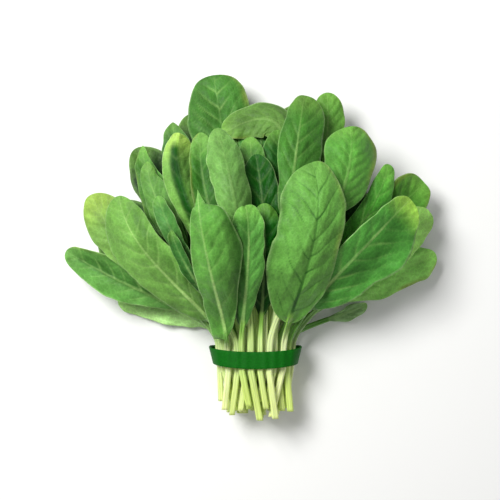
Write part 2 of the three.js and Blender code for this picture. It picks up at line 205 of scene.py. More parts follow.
def spinachStalk(name):
    material, tree, skin = newMaterial(name, wetTissue(stalkLook))
    colour = addNode(tree, "ShaderNodeAttribute", attribute_name="leafColour").outputs["Color"]
    place = addNode(tree, "ShaderNodeAttribute", attribute_name="leafPlace").outputs["Vector"]
    drawn = addNode(tree, "ShaderNodeVectorMath", {
        0: place, 1: (1 / stalkLook["ribPitch"], 1 / stalkLook["ribRun"], 1.0),
    }, operation="MULTIPLY")
    ribs = addNode(tree, "ShaderNodeTexNoise", {
        "Vector": drawn.outputs[0], "Scale": 1.0, "Detail": 3.0, "Roughness": 0.55,
    })
    shade = addNode(tree, "ShaderNodeMapRange", {
        "Value": ribs.outputs["Fac"], **noiseSpan,
        "To Min": stalkLook["darker"], "To Max": stalkLook["lighter"],
    })
    streaked = addNode(tree, "ShaderNodeVectorMath", {
        0: colour, "Scale": shade.outputs[0],
    }, operation="SCALE")
    tree.links.new(streaked.outputs[0], skin.inputs["Base Color"])
    finishSkin(tree, skin, stalkLook, ribs.outputs["Fac"], ribs.outputs["Fac"])
    return material


# Cut stalk end: sliced wet pith. It looks paler than the skin, and slightly rough from the knife.
cutLook = {
    "ior": 1.4, "specular": 0.5, "roughness": 0.4,
    "scatter": 0.3, "scatterColour": (1.0, 1.0, 0.5), "scatterDepth": 1.5,
    "fibre": 0.9, "pithColour": "#EFF4CF", "fibreColour": "#B9CF86", "bump": 0.4, "bumpHeight": 0.3,
}


def cutStalk(name):
    material, tree, skin = newMaterial(name, {**wetTissue(cutLook), "Roughness": cutLook["roughness"]})
    place = addNode(tree, "ShaderNodeTexCoord").outputs["Object"]
    fibres = addNode(tree, "ShaderNodeTexVoronoi", {"Vector": place, "Scale": 1 / (cutLook["fibre"] * mm)})
    pith = addNode(tree, "ShaderNodeMix", {
        0: fibres.outputs["Distance"], 6: (*linear(cutLook["pithColour"]), 1),
        7: (*linear(cutLook["fibreColour"]), 1),
    }, data_type="RGBA")
    tree.links.new(pith.outputs[2], skin.inputs["Base Color"])
    bump = addNode(tree, "ShaderNodeBump", {
        "Strength": cutLook["bump"], "Distance": cutLook["bumpHeight"] * mm,
        "Height": fibres.outputs["Distance"],
    })
    tree.links.new(bump.outputs[0], skin.inputs["Normal"])
    return material


upperSkin = spinachBlade("spinach blade, waxy upper face", "upper")
lowerSkin = spinachBlade("spinach blade, matt underside", "underside")
stalkSkin = spinachStalk("spinach stalk, ribbed skin")
cutSkin = cutStalk("spinach stalk, sliced end")
print("leaf materials made")

# How the stems pack in the tie and how a blade is drawn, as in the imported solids. The rows run from the
# lowest to the topmost.
stems = {
    "rowSizes": [4, 7, 8, 9, 8, 7, 4], "pitchAcross": 6.6, "width": 5.1, "depth": 4.7, "widthAtBlade": 4.0,
    "straightTo": 8, "gather": 0.84, "shortest": 31, "longest": 44, "stepLength": 26, "leaveSpread": 1.02,
    "leanFrom": 9, "rowLean": [1, -2, 3, -2, 6, -6, 6], "thinnest": 0.8, "leastBare": 6,
}
blades = {
    "columns": np.array([-1, -0.5, 0, 0.5, 1]),
    "stations": [0, 0.1, 0.22, 0.36, 0.51, 0.66, 0.79, 0.9, 0.965, 1],
    "ripple": 0.07, "tipHalfWidth": 1.4, "nibWidth": 0.36, "halfThickness": 0.45, "roundTo": 0.14,
    "steepest": 2.2,
}
# The under leaves lie at the bottom of the heap. Their dark green is painted shade, so that the gaps down to
# them read as deep shadow.
under = {
    "spread": 60, "spreadAt": 20, "spreadVary": 5, "reach": 178, "sideLoss": 40, "reachVary": 10,
    "bendShare": 0.45, "bendTurn": 0.6, "halfWidth": 20, "widthVary": 3,
    "length": 112, "sideShorter": 14, "lengthVary": 8, "green": "#12380D",
}


def placeAcross(row, place):
    return (place - (stems["rowSizes"][row] - 1) / 2) * stems["pitchAcross"]


# A leaf's form: row and place say where its stem is in the tie, and its midrib bends at bend and ends at
# tip. Left and right are its blade's half-widths. Base and point shape its outline, leftBase its left
# side's base, and nib is the share that a narrow tip takes. Grid is how finely it is drawn.
# Its colours: green is its upper face, tipGreen tints its end, rim is how pale its edge is painted, a
# painted highlight where the edge catches light, brown how aged its left and right edges are, and rib and
# veins how pale (above 0) or dark (below 0) they are, the dark being painted shade in their grooves. Shade
# is how much painted shade darkens its left and right halves, heart how much painted shade darkens its base,
# and greenStalk how green its stalk is. Slit is a band of painted shadow along it: where across the leaf,
# how wide and how dark.
def leaf(name, row, place, bend, tip, left, right, length, **look):
    plain = {
        "base": 0.8, "point": 0.5, "nib": 0, "grid": "shown", "green": "#5B9E42",
        "tipGreen": "#8FC455", "tipFrom": 0.8, "tipShare": 0.3, "rim": 0.35, "brown": (0.0, 0.0),
        "rib": 0.35, "veins": 0.16, "shade": (0.0, 0.0), "slit": (0.0, 1.0, 0.0), "heart": 0.25,
        "greenStalk": 0.0,
    }
    known = {"name": name, "row": row, "place": place, "bend": bend, "tip": tip,
             "left": left, "right": right, "length": length}
    return {**known, **plain, **look}


def underLeaf(name, row, place, count):
    def vary(step):
        return ((count * step * goldenStep) % 1) * 2 - 1

    turn = under["spread"] * placeAcross(row, place) / under["spreadAt"] + under["spreadVary"] * vary(1)
    angle = math.radians(turn)
    side = abs(angle) / math.radians(under["spread"])
    reach = under["reach"] - under["sideLoss"] * side * side + under["reachVary"] * vary(2)
    tip = (reach * math.sin(angle), reach * math.cos(angle))
    bent, bendAngle = under["bendShare"] * reach, under["bendTurn"] * angle
    bend = (bent * math.sin(bendAngle), bent * math.cos(bendAngle))
    width = under["halfWidth"] + under["widthVary"] * vary(3)
    length = under["length"] - under["sideShorter"] * side * side + under["lengthVary"] * vary(6)
    return leaf(name, row, place, bend, tip, width, width, length,
                base=0.75, green=under["green"], grid="under")


leaves = [
    underLeaf("under_leaf_01", 0, 0, 1),
    underLeaf("under_leaf_02", 0, 3, 2),
    underLeaf("under_leaf_03", 0, 1, 3),
    underLeaf("under_leaf_04", 0, 2, 4),
    underLeaf("under_leaf_05", 1, 1, 5),
    underLeaf("under_leaf_06", 1, 5, 6),
    underLeaf("under_leaf_07", 1, 3, 7),
    underLeaf("under_leaf_08", 1, 2, 8),
    underLeaf("under_leaf_09", 1, 4, 9),
    leaf("left_low_leaf", 1, 0, (-59, 34), (-101, 41), 11, 10, 78, point=0.4,
         green="#B6E68E", rim=0.5, greenStalk=0.7),
    leaf("right_small_leaf", 1, 6, (45, 20), (82, 37), 4, 6, 32, green="#8DB476", greenStalk=0.9),
    underLeaf("under_leaf_10", 2, 1, 10),
    underLeaf("under_leaf_11", 2, 6, 11),
    underLeaf("under_leaf_12", 2, 2, 12),
    underLeaf("under_leaf_13", 2, 5, 13),
    underLeaf("under_leaf_14", 2, 3, 14),
    underLeaf("under_leaf_15", 2, 4, 15),
    leaf("left_side_leaf", 2, 0, (-73, 34), (-136, 76), 13, 13, 92,
         green="#629A48", tipGreen="#7AA856", brown=(0.0, 0.35), rim=0.7, greenStalk=0.7,
         shade=(0.0, 0.1), veins=0.3, slit=(0.2, 0.35, 0.55)),
    leaf("right_side_leaf", 2, 7, (80, 54), (131, 73), 14, 15, 84,
         green="#94D868", brown=(0.0, 0.6), greenStalk=0.8),
    leaf("back_left_tip_leaf", 3, 3, (-52, 84), (-59, 168), 12, 12, 72, point=0.7, green="#406C34"),
    leaf("back_top_leaf", 3, 4, (-16, 112), (-30, 202), 23, 23, 92, base=1, point=0.42,
         green="#3E7129", tipGreen="#53873A", brown=(0.0, 0.55), rib=0.3, veins=0.35, heart=0.1),
    leaf("back_centre_leaf", 3, 5, (10, 92), (2, 181), 16, 16, 84, base=0.9, green="#468334"),
    leaf("left_pointed_leaf", 3, 2, (-80, 76), (-80, 151), 11, 11, 86, point=0.8,
         green="#4A7C32", brown=(0.25, 0.0), greenStalk=0.8),
    leaf("back_right_leaf", 3, 6, (60, 98), (51, 189), 14, 13, 72, base=0.9,
         green="#548834", brown=(0.0, 0.25)),
    leaf("right_far_leaf", 3, 7, (63, 70), (121, 125), 15, 14, 86, base=1, point=0.28,
         green="#467E28", brown=(0.5, 0.3), greenStalk=0.8),
    leaf("right_edge_leaf", 3, 8, (66, 52), (124, 104), 14, 15, 84, point=0.42,
         green="#9AD46A", brown=(0.2, 0.35), greenStalk=0.8),
    leaf("left_outer_leaf", 3, 0, (-80, 38), (-117, 116), 15, 17, 94, base=0.9, point=0.45,
         green="#6E9847", tipGreen="#94B24A", tipShare=0.8, tipFrom=0.7, greenStalk=0.8, veins=0.28),
    leaf("left_inner_leaf", 3, 1, (-77, 87), (-76, 139), 9, 10, 76, point=0.65,
         green="#55843A", greenStalk=0.8),
    leaf("top_bent_leaf", 4, 4, (94, 228), (-23, 158), 13, 12, 80, base=0.9,
         green="#567D37", rim=0.5, brown=(0.4, 0.0)),
    leaf("centre_back_leaf", 4, 5, (22, 84), (15, 160), 12, 12, 78, green="#20561A"),
    leaf("right_mid_leaf", 4, 6, (79, 67), (93, 137), 9, 13, 118, base=0.5, point=0.42,
         green="#498E31", greenStalk=0.8, veins=0.28),
    leaf("folded_leaf", 4, 2, (-68, 100), (-53, 158), 12, 13, 88, base=0.7, point=0.4,
         green="#74A84C", tipGreen="#A3C858", tipShare=0.9, tipFrom=0.72, rim=0.8, shade=(0.0, 0.25),
         slit=(-0.16, 0.34, 0.97), rib=0.0),
    leaf("short_dark_leaf", 4, 3, (-16, 36), (-19, 80), 9, 9, 50, green="#2E6B25"),
    leaf("small_tip_leaf", 5, 3, (2, 84), (-4, 155), 10, 10, 56, green="#4C7E33", heart=0.6),
    leaf("dark_centre_leaf", 5, 4, (13, 74), (0, 142), 13, 12, 76,
         green="#0E4C06", tipGreen="#2F6A24", rim=0.6, rib=0.22),
    leaf("left_slim_leaf", 4, 1, (-56, 66), (-67, 114), 7, 6, 56, green="#457A36", rim=0.6),
    leaf("upper_right_leaf", 5, 5, (20, 107), (34, 184), 12, 18, 102, point=0.38,
         green="#3F7428", tipGreen="#658C3C", tipShare=0.7, rib=0.6, shade=(0.0, 0.15)),
    leaf("right_round_leaf", 6, 3, (77, 82), (65, 162), 19, 19, 66, point=0.45,
         green="#549238", brown=(0.0, 0.5)),
    leaf("upper_left_leaf", 5, 2, (-46, 98), (-37, 157), 9, 12, 90,
         green="#33681F", heart=0.6, brown=(0.7, 0.0), tipGreen="#7AAE52", tipShare=0.85, tipFrom=0.74),
    leaf("left_broad_leaf", 4, 0, (-86, 48), (-94, 114), 20, 16, 110, base=0.75,
         green="#699A44", tipGreen="#74A446", rib=0.8, greenStalk=0.7, heart=0.15, veins=0.42,
         shade=(0.0, 0.06), slit=(0.55, 0.2, 0.38)),
    leaf("slim_front_leaf", 5, 1, (-47, 43), (-57, 90), 5, 4, 54, green="#35672A", rim=0.7),
    # Its very dark green is painted shadow from the leaves lying over it.
    leaf("shaded_leaf", 6, 2, (10, 69), (5, 108), 12, 12, 80, green="#0A5204", rim=0.1, heart=0.5),
    leaf("bright_centre_leaf", 6, 1, (-5, 104), (-27, 159), 13, 12, 86, base=0.7,
         green="#68994A", tipGreen="#7FAE57", rim=0.6, rib=0.2, shade=(0.0, 0.12)),
    leaf("right_front_leaf", 4, 7, (57, 63), (107, 112), 12, 27, 104, base=0.65, point=0.42,
         green="#4C9038", tipGreen="#9CC84E", tipShare=0.8, tipFrom=0.8, rim=0.6, rib=0.9,
         greenStalk=0.9, heart=0.0, shade=(0.0, 0.1), veins=0.32, slit=(0.35, 0.32, 0.42)),
    leaf("front_centre_leaf", 6, 0, (3, 70), (-7, 106), 13, 11, 84, base=0.6, point=0.32,
         green="#60A546", rim=0.7, rib=0.8, shade=(0.5, 0.0), heart=0.35),
    leaf("front_right_leaf", 5, 6, (60, 73), (37, 135), 27, 19, 112, base=0.42, point=0.36,
         grid="nearest", green="#5C933E", tipGreen="#74A74F", rim=0.45, brown=(0.0, 0.35),
         rib=-0.9, veins=-1.0, heart=0.04, slit=(-1.0, 0.14, 0.3)),
    leaf("front_left_leaf", 5, 0, (-37, 66), (-38, 116), 11, 23, 104, base=0.85, leftBase=0.12,
         point=0.3, nib=0.1, green="#548B38", tipGreen="#6C9E4B", rim=0.6, rib=0.9,
         shade=(0.0, 0.12), heart=0.1, greenStalk=0.8, slit=(1.0, 0.22, 0.55)),
]


def midribPoints(spec, at):  # the midrib in plan, from where the stem leaves the tie to the leaf's tip
    root = np.array([placeAcross(spec["row"], spec["place"]) * stems["leaveSpread"], stems["straightTo"]])
    bend, tip = np.array(spec["bend"], float), np.array(spec["tip"], float)
    rise = np.linalg.norm(bend - root) / 3
    leaving, arriving = root + (0, rise), lerp(tip, bend, 2 / 3)
    at = at[:, None]
    return ((1 - at) ** 3 * root + 3 * (1 - at) ** 2 * at * leaving
            + 3 * (1 - at) * at ** 2 * arriving + at ** 3 * tip)


def midribLength(spec):
    steps = np.linspace(0, 1, 201)
    gone = np.linalg.norm(np.diff(midribPoints(spec, steps), axis=0), axis=1)
    return steps, np.concatenate([[0], np.cumsum(gone)])


def outline(along, base, point, nib):
    widest = base / (base + point)
    u = (along / (1 - nib)).clip(0, 1)
    oval = u ** base * (1 - u) ** point / (widest ** base * (1 - widest) ** point)
    if not nib:
        return oval
    tip = blades["nibWidth"] * (0.6 * (1 - along) / nib).clip(0, 1) * (along >= 1 - 2 * nib)
    return np.maximum(oval, tip)


# The leaf in plan at places along its midrib: below 0 in the tie and down to the cut end, then up to its tip
def leafPlan(spec, number, places, tipHalfWidth):
    steps, gone = midribLength(spec)
    total = gone[-1]
    length = min(spec["length"], total - stems["leastBare"])
    bareStem = total - length
    at = np.interp(places.clip(0), gone, steps)
    point = midribPoints(spec, at)
    heading = midribPoints(spec, (at + 0.0001).clip(0, 1)) - midribPoints(spec, (at - 0.0001).clip(0, 1))
    heading /= np.linalg.norm(heading, axis=1)[:, None]
    side = np.stack([heading[:, 1], -heading[:, 0]], axis=1)
    across = placeAcross(spec["row"], spec["place"])
    cut = -lerp(stems["shortest"], stems["longest"], (number * goldenStep) % 1)
    slim = lerp(stems["thinnest"], 1, (3 * number * goldenStep) % 1)
    knots = np.array([cut, -stems["leanFrom"], stems["straightTo"]])
    leaning = (knots + stems["leanFrom"]) / (stems["leanFrom"] - stems["longest"])
    lean = stems["rowLean"][spec["row"]] * leaning
    drawnIn = across * (1 + (1 - stems["gather"]) * knots / stems["longest"]) + lean
    drawnIn[2] = across * stems["leaveSpread"]
    below = places < 0
    y = places + stems["straightTo"]
    point[below] = np.stack([np.interp(y, knots, drawnIn), y], axis=1)[below]
    side[below] = (1, 0)
    along = ((places - bareStem) / length).clip(0, 1)
    bare = lerp(stems["width"], stems["widthAtBlade"], (places / bareStem).clip(0, 1)) / 2 * slim
    least = np.where(along > 0, lerp(bare, tipHalfWidth, along), bare)

    def edge(base, turns):
        wave = np.sin(2 * np.pi * (turns * along + number * goldenStep))
        grown = np.where(along >= 1, 0, outline(along, base, spec["point"], spec["nib"]))
        return grown * (1 + blades["ripple"] * wave)

    left = np.maximum(least, spec["left"] * edge(spec.get("leftBase", spec["base"]), 1.6))
    right = np.maximum(least, spec["right"] * edge(spec["base"], -2.1))
    roundness = 1 - smoothstep(along, 0, blades["roundTo"])
    return {"point": point, "side": side, "left": left, "right": right, "along": along, "bare": bare,
            "round": roundness, "bareStem": bareStem, "length": length, "cut": cut,
            "depth": stems["depth"] * slim}


def coarsePlaces(spec, number):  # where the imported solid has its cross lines
    probe = leafPlan(spec, number, np.array([0.0]), 0)
    stemSteps = max(1, round(probe["bareStem"] / stems["stepLength"]))
    stalk = [probe["bareStem"] * i / stemSteps for i in range(stemSteps)]
    blade = [probe["bareStem"] + probe["length"] * share for share in blades["stations"]]
    below = [probe["cut"] - stems["straightTo"], -stems["leanFrom"] - stems["straightTo"]]
    return np.array(below + stalk + blade)


def smoothThrough(knots, values, at):  # a smooth curve through each row of values, read at that row's places
    steps = np.diff(knots)
    slopes = np.diff(values, axis=1) / steps
    tangents = np.empty_like(values)
    tangents[:, 1:-1] = (slopes[:, :-1] * steps[1:] + slopes[:, 1:] * steps[:-1]) / (steps[1:] + steps[:-1])
    tangents[:, 0], tangents[:, -1] = slopes[:, 0], slopes[:, -1]
    left = np.clip(np.searchsorted(knots, at, side="right") - 1, 0, len(knots) - 2)
    t = (at - knots[left]) / steps[left]

    def pick(table, index):
        return np.take_along_axis(table, index, axis=1)

    return (pick(values, left) * (1 + 2 * t) * (1 - t) ** 2
            + pick(tangents, left) * steps[left] * t * (1 - t) ** 2
            + pick(values, left + 1) * t * t * (3 - 2 * t)
            + pick(tangents, left + 1) * steps[left] * t * t * (t - 1))


def platePoints(plan, share):  # plan points at shares of the half-widths, for every cross line
    reach = share * np.where(share < 0, plan["left"][:, None], plan["right"][:, None])
    return plan["point"][:, None, :] + plan["side"][:, None, :] * reach[:, :, None], reach


# The height of the leaf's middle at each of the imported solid's grid points, read from its node
def packedHeights(spec, number, places):
    plan = leafPlan(spec, number, places, blades["tipHalfWidth"])
    share = np.tile(blades["columns"], (len(places), 1))
    flat, _ = platePoints(plan, share)
    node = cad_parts[spec["name"]].data
    corners = np.empty(len(node.vertices) * 3)
    node.vertices.foreach_get("co", corners)
    corners = corners.reshape(-1, 3) / mm
    apart = np.linalg.norm(flat.reshape(-1, 1, 2) - corners[None, :, :2], axis=2)
    near = apart < apart.min(axis=1)[:, None] + 0.1
    top = np.where(near, corners[None, :, 2], -1e9).max(axis=1).reshape(share.shape)
    oval = np.maximum(blades["halfThickness"], plan["depth"] / 2 * np.sqrt(1 - share ** 2))
    up = lerp(blades["halfThickness"], oval, plan["round"][:, None])
    middle = top - up
    lengthways = np.maximum(0.5, np.linalg.norm(np.gradient(flat, axis=0), axis=2))
    sideways = np.maximum(0.5, np.linalg.norm(np.gradient(flat, axis=1), axis=2))
    for _ in range(2):  # a sloping leaf is taller than it is thick, which its own slope tells
        rise = np.gradient(middle, axis=0) / lengthways
        tilt = np.gradient(middle, axis=1) / sideways
        middle = top - up * np.minimum(blades["steepest"], np.sqrt(1 + rise ** 2 + tilt ** 2))
    return middle, apart.min(axis=1).max()


# The fine leaf's form: quilting between impressed veins, a rib below, a ruffled edge and a grooved stalk
leafForm = {
    "bladeHalf": 0.26, "stalkSkin": 0.1, "tipHalfWidth": 0.3, "tipZone": 0.85, "tipCrowding": 1.8,
    "quiltHeight": 1.04, "flatByRib": 5, "buckle": 0.7, "buckleRuns": (15, 22),
    "veinDepth": 0.4, "veinBelow": 0.3, "tipCalm": (0.9, 1),
    "ribTop": 0.55, "ribEnd": 0.35, "ribNarrowing": 0.8, "grooveDepth": 0.45, "grooveWidth": 0.35,
    "ruffle": 0.9, "ruffleRun": 17, "edgeNotch": 0.65, "notchRun": 6.5, "notchFrom": (0.05, 0.2),
    "notchTo": (0.93, 1), "least": 0.05, "bladeFrom": 0.03,
    "cutRings": ((0.86, 0.0), (0.5, 0.35)),  # how far each ring of the cut end is drawn in and how far sunk
}
leafGrids = {  # how finely a leaf is drawn: its step along, its columns across and how wide its veins are
    "under": {"step": 2.0, "columns": 17, "veinWidth": 0.75},
    "shown": {"step": 1.04, "columns": 45, "veinWidth": 0.75},
    "nearest": {"step": 0.8, "columns": 61, "veinWidth": 0.506},
}


def finePlaces(spec, number):  # places along the fine leaf's midrib, closer together towards the tip
    probe = leafPlan(spec, number, np.array([0.0]), 0)
    step = leafGrids[spec["grid"]]["step"]
    start, bareStem, length = probe["cut"] - stems["straightTo"], probe["bareStem"], probe["length"]
    stalk = np.linspace(start, bareStem, int((bareStem - start) / (2 * step)) + 2)[:-1]
    zone = leafForm["tipZone"]
    body = np.linspace(0, zone, int(zone * length / step) + 2)[:-1]
    ends = np.linspace(0, 1, int((1 - zone) * length / step * leafForm["tipCrowding"]) + 4)
    tipPart = 1 - (1 - zone) * (1 - ends) ** 2
    return np.concatenate([stalk, bareStem + length * np.concatenate([body, tipPart])])


# Side veins climb from the midrib and fork towards the edge. Each is drawn faint here and strong there.
veinForm = {
    "pitch": 7.0, "along": 8, "climb": 0.8, "curve": 1.6, "sideShift": 0.45,
    "lean": 0.72,  # a slanting vein is narrower than its run along the midrib
    "wander": 0.2, "wanderRuns": (12, 14), "sway": 0.55, "swayRun": 34,
    "thinning": (1.1, 0.5), "fade": (0.55, 0.45), "fadeRuns": (10, 11),
    "forkWidth": 0.7, "forkStrength": 0.6, "forkShift": 0.35, "forkFrom": (0.3, 0.6),
    "quiltRun": 7.5, "quiltUneven": 0.5, "quiltRuns": (9, 9), "quiltLeast": 0.6,
}


# How strongly a side vein shows, and how high the quilting swells, at x across the leaf and a along it
def veinPattern(spec, number, x, a):
    look = veinForm

    def noise(runs, seed):
        return softNoise(x / runs[0], a / runs[1], number + seed)

    half = max(spec["left"], spec["right"])
    pitch = max(look["pitch"], spec["length"] / look["along"])
    climb = np.abs(x) * look["climb"] + x * x / (look["curve"] * half)
    onRight = (x >= 0) * 1.0
    sway = look["sway"] * softNoise(onRight * 9.5, a / look["swayRun"], number + 60)
    wander = look["wander"] * noise(look["wanderRuns"], 0) + sway
    phase = (a - climb) / pitch + look["sideShift"] * onRight + wander
    out = np.abs(x) / half

    def line(at, width):
        apart = np.abs(at - np.round(at)) * pitch * look["lean"]
        return np.exp(-(apart / width) ** 2)

    fade = look["fade"][0] + look["fade"][1] * noise(look["fadeRuns"], 70)
    thickness = leafGrids[spec["grid"]]["veinWidth"]
    vein = line(phase, thickness * (look["thinning"][0] - look["thinning"][1] * out)) * fade
    fork = line(phase + 0.5 - look["forkShift"] * out, look["forkWidth"] * thickness)
    fork = fork * smoothstep(out, *look["forkFrom"])
    vein = np.maximum(vein, look["forkStrength"] * fade * fork) * (1 - out.clip(0, 1) ** 3)
    swell = 0.5 - 0.5 * np.cos(2 * np.pi * phase)
    uneven = look["quiltUneven"] * noise(look["quiltRuns"], 50) + goldenStep * np.round(phase)
    cross = 0.5 - 0.5 * np.cos(2 * np.pi * (np.abs(x) / look["quiltRun"] + uneven))
    quilt = np.sqrt(swell) * lerp(look["quiltLeast"], 1, cross)
    return vein, quilt


# Folds that run from the tie to the tips. Leaves pressed together fold together, so they stay apart.
heapForm = {
    "height": 3.4, "comesIn": (25, 70), "soft": 0.3, "sharp": 0.34,
    "softFolds": ((9, 34, 1, 5), (19, 22, 0.5, 6)),  # folds per radian, run along them, strength and seed
    "sharpFolds": (6.5, 46, 8),
}


def heapFolds(x, y):
    far, turn = np.hypot(x, y), np.arctan2(x, y)
    soft = sum(strength * softNoise(turn * perTurn, far / run, seed)
               for perTurn, run, strength, seed in heapForm["softFolds"])
    perTurn, run, seed = heapForm["sharpFolds"]
    sharp = 1 - 2 * np.abs(softNoise(turn * perTurn + 4, far / run, seed))
    folds = 0.5 + heapForm["soft"] * soft + heapForm["sharp"] * sharp
    return heapForm["height"] * folds * smoothstep(far, *heapForm["comesIn"])


def mix(a, b, share):  # a towards b, for colours
    return a + (b - a) * np.clip(share, 0, 1)[..., None]


leafPalette = {
    "stalkCut": (linear("#EAF3AA"), linear("#C6DC70")), "stalkTie": (linear("#E4EFB4"), linear("#B9D87A")),
    # Among these, the pale rim colour is a painted highlight along leaf edges, and the dark rib colour is
    # painted shade in sunken ribs and veins.
    "stalkBlade": linear("#84B54C"), "stalkGreen": linear("#5F9A3F"), "veinPale": linear("#A5CF74"),
    "ribPale": linear("#B4D982"), "grooveShade": linear("#184A10"), "rimPale": linear("#A9CE86"),
    "brown": linear("#8A7F38"), "underside": linear("#86AD6B"),
    "paintedShadeTint": np.array([1.0, 0.86, 1.0]),  # painted shade among leaves stays a little greener
}
# Where each marking comes in or goes, along the leaf from its base 0 to its tip 1 and across it from its
# midrib 0 to its edge 1. Runs are in millimetres, and so are stalkTie and stalkGreen, above the tie.
# StalkBlade is a share of the bare stem, stalkRound of a round section and stalkEdge of a half-width.
leafMarks = {
    "patch": (0.8, 1.22), "patchRuns": (13, 21), "tipTo": 0.99, "halves": (-0.2, 0.2),
    # Some of these marks place painted shade (the darker halves, the slit band and the darker base) and a
    # painted highlight (the pale rim).
    "slitFrom": (0.1, 0.35), "paintedShadeTo": (0.86, 0.95), "heartTo": (0.15, 0.6),
    "agedAcross": (0.72, 1.0), "agedFrom": (0.35, 0.6), "agedRuns": (6, 9),
    "ribWidth": 0.75, "ribNarrowing": 0.75, "ribRun": 12, "rimAcross": (0.93, 0.99), "rimFrom": 0.02,
    "backPaler": 0.45, "backVein": 0.2, "stalkTie": (-35, -5), "stalkBlade": (0.05, 0.95),
    "stalkGreen": (-4, 9), "stalkRound": (0.35, 1.0), "stalkEdge": (1.4, 0.9),
}


# The linear colour at each point of the leaf's upper face, or of its underside when below is true
def leafColours(spec, number, grid, vein, below):
    marks = leafMarks
    x, a, share, along, bare = [grid[key] for key in ("x", "a", "share", "along", "bare")]

    def noise(runs, seed):
        return softNoise(x / runs[0], a / runs[1], number + seed)

    green = np.broadcast_to(linear(spec["green"]), x.shape + (3,))
    green = green * lerp(*marks["patch"], 0.5 + 0.5 * noise(marks["patchRuns"], 7))[..., None]
    tipward = smoothstep(along, spec["tipFrom"], marks["tipTo"])
    green = mix(green, linear(spec["tipGreen"]), spec["tipShare"] * tipward)
    # Painted shade: shade darkens the leaf's left or right half, and slit paints a band of shadow along it,
    # both fading out near the tip; heart paints shade on the blade towards its base.
    shadeLeft, shadeRight = spec["shade"]
    paintedShade = shadeLeft * smoothstep(-share, *marks["halves"])
    paintedShade = paintedShade + shadeRight * smoothstep(share, *marks["halves"])
    middle, width, depth = spec["slit"]
    slit = depth * np.exp(-((share - middle) / width) ** 4) * smoothstep(along, *marks["slitFrom"])
    paintedShade = np.maximum(paintedShade, slit) * (1 - smoothstep(along, *marks["paintedShadeTo"]))
    green = green * (1 - paintedShade[..., None] * leafPalette["paintedShadeTint"])
    green = green * (1 - spec["heart"] * (1 - smoothstep(along, *marks["heartTo"])))[..., None]
    edge = np.abs(share)
    aged = np.where(share < 0, spec["brown"][0], spec["brown"][1])
    aged = aged * smoothstep(edge, *marks["agedAcross"]) * smoothstep(along, *marks["agedFrom"])
    aged = aged * (0.6 + 0.6 * noise(marks["agedRuns"], 21))
    green = mix(green, leafPalette["brown"], aged)
    # Dark veins and ribs (below 0) are painted shade in their grooves; pale ones are the leaf's own colour.
    veinColour = leafPalette["veinPale"] if spec["veins"] > 0 else leafPalette["grooveShade"]
    green = mix(green, veinColour, abs(spec["veins"]) * vein)
    narrowing = 1 - marks["ribNarrowing"] * along
    onRib = np.exp(-(x / (marks["ribWidth"] * bare * narrowing)) ** 4)
    ribColour = leafPalette["ribPale"] if spec["rib"] > 0 else leafPalette["grooveShade"]
    broken = 0.75 + 0.35 * softNoise(a / marks["ribRun"], 0 * a, number + 33)
    green = mix(green, ribColour, abs(spec["rib"]) * broken * onRib * narrowing)
    # Painted highlight: a paler line along the edge, where it catches the light.
    rim = smoothstep(edge, *marks["rimAcross"]) * (along > marks["rimFrom"])
    green = mix(green, leafPalette["rimPale"], spec["rim"] * rim)
    if below:
        green = mix(green, leafPalette["underside"], marks["backPaler"] + marks["backVein"] * vein)
    greener = (5 * number * goldenStep) % 1
    cutColour, tieColour = [lerp(*leafPalette[key], greener) for key in ("stalkCut", "stalkTie")]
    aboveTie = a + grid["bareStem"]
    stalk = np.broadcast_to(cutColour, x.shape + (3,))
    stalk = mix(stalk, tieColour, smoothstep(aboveTie, *marks["stalkTie"]))
    toBlade = smoothstep(aboveTie / grid["bareStem"], *marks["stalkBlade"])
    stalk = mix(stalk, leafPalette["stalkBlade"], toBlade)
    greening = spec["greenStalk"] * smoothstep(aboveTie, *marks["stalkGreen"])
    stalk = mix(stalk, leafPalette["stalkGreen"], greening)
    outer, inner = marks["stalkEdge"]
    onStalk = smoothstep(grid["round"], *marks["stalkRound"])
    onStalk = onStalk * smoothstep(np.abs(x), outer * bare, inner * bare)
    return mix(green, stalk, onStalk)


def buildMesh(name, points, quads, slots, skins, colours=None, places=None):
    mesh = bpy.data.meshes.new(name)
    mesh.vertices.add(len(points))
    mesh.vertices.foreach_set("co", (points * mm).astype(np.float32).ravel())
    mesh.loops.add(quads.size)
    mesh.loops.foreach_set("vertex_index", quads.astype(np.int32).ravel())
    mesh.polygons.add(len(quads))
    mesh.polygons.foreach_set("loop_start", np.arange(0, quads.size, 4, dtype=np.int32))
    mesh.polygons.foreach_set("material_index", slots.astype(np.int32))
    mesh.update(calc_edges=True)
    for skin in skins:
        mesh.materials.append(skin)
    if colours is not None:
        layer = mesh.attributes.new("leafColour", "FLOAT_COLOR", "POINT")
        rgba = np.concatenate([colours, np.ones((len(colours), 1))], axis=1)
        layer.data.foreach_set("color", rgba.astype(np.float32).ravel())
        layer = mesh.attributes.new("leafPlace", "FLOAT_VECTOR", "POINT")
        layer.data.foreach_set("vector", places.astype(np.float32).ravel())
    mesh.shade_smooth()
    piece = bpy.data.objects.new(name, mesh)
    bpy.context.scene.collection.objects.link(piece)
    return piece


def quadsOf(*corners):  # one quad for each place in four arrays of corner numbers
    return np.stack(corners, axis=-1).reshape(-1, 4)


